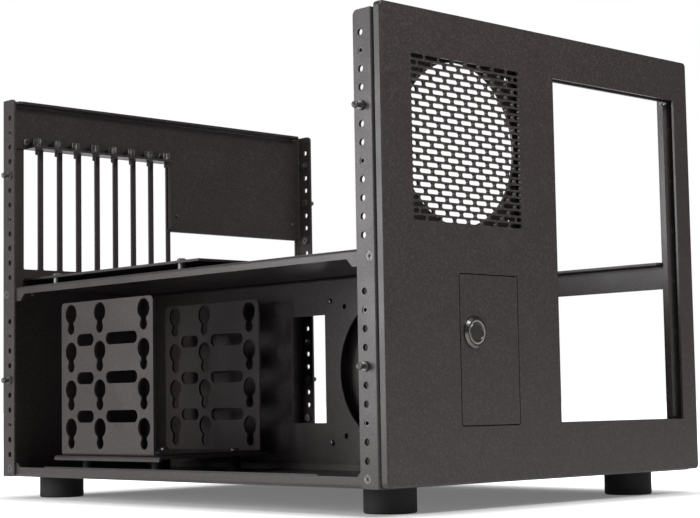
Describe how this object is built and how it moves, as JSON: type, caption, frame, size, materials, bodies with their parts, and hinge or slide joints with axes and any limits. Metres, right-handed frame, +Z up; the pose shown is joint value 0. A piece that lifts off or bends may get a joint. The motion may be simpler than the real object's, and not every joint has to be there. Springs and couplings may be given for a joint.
{
  "type": "pc case",
  "caption": "Open computer case of folded sheet with a horizontal board tray over a lower bay for the power supply and drives, a brick-slot front grille and a push button.",
  "frame": {"origin": "on the ground plane under the middle of the case", "axes": "+Z up, -Y to the front cover, +X to the right seen from the front"},
  "size_m": [0.3644, 0.4862, 0.3485],
  "materials": {
    "powder_coat": "fine-textured powder coat",
    "black_steel": "black oxide",
    "bright_steel": "zinc plated",
    "button_metal": "nickel plated",
    "light_ring": "translucent",
    "plastic": "moulded",
    "rubber": "matt"
  },
  "bodies": {
    "chassis": {"front_cover": "powder_coat", "switch_plate": "powder_coat", "front_chassis": "powder_coat", "rear_chassis": "powder_coat", "slot_panel": "powder_coat", "mid_deck": "powder_coat", "side_rail": "powder_coat", "motherboard_tray": "powder_coat", "compartment_wall": "powder_coat", "fan_cover": "powder_coat", "bottom_tray": "powder_coat", "floor_plate": "powder_coat", "drive_mount": "powder_coat", "drive_mount_base": "powder_coat", "slot_thumbscrews": "black_steel", "panel_screws": "black_steel", "ledge_screws": "black_steel", "wall_screws": "black_steel", "chassis_screws": "black_steel", "ball_studs": "black_steel", "cover_studs": "black_steel", "tray_screws": "black_steel", "stud_inserts": "bright_steel", "tray_standoffs": "bright_steel", "drive_mount_screws": "bright_steel", "foot_screws": "bright_steel", "switch_plate_standoffs": "bright_steel", "power_button_nut": "bright_steel", "power_button_body": "button_metal", "power_button_ring": "light_ring", "power_button_terminals": "plastic", "cover_clips": "plastic", "feet": "rubber", "drive_mount_spacers": "rubber"},
    "button": {"power_button_cap": "button_metal"}
  },
  "joints": [
    {"name": "power_button_press", "type": "slide", "parent": "chassis", "child": "button", "axis": [0, 1, 0], "range_m": [0, 0.002], "stiffness_N_per_m": 800}
  ]
}
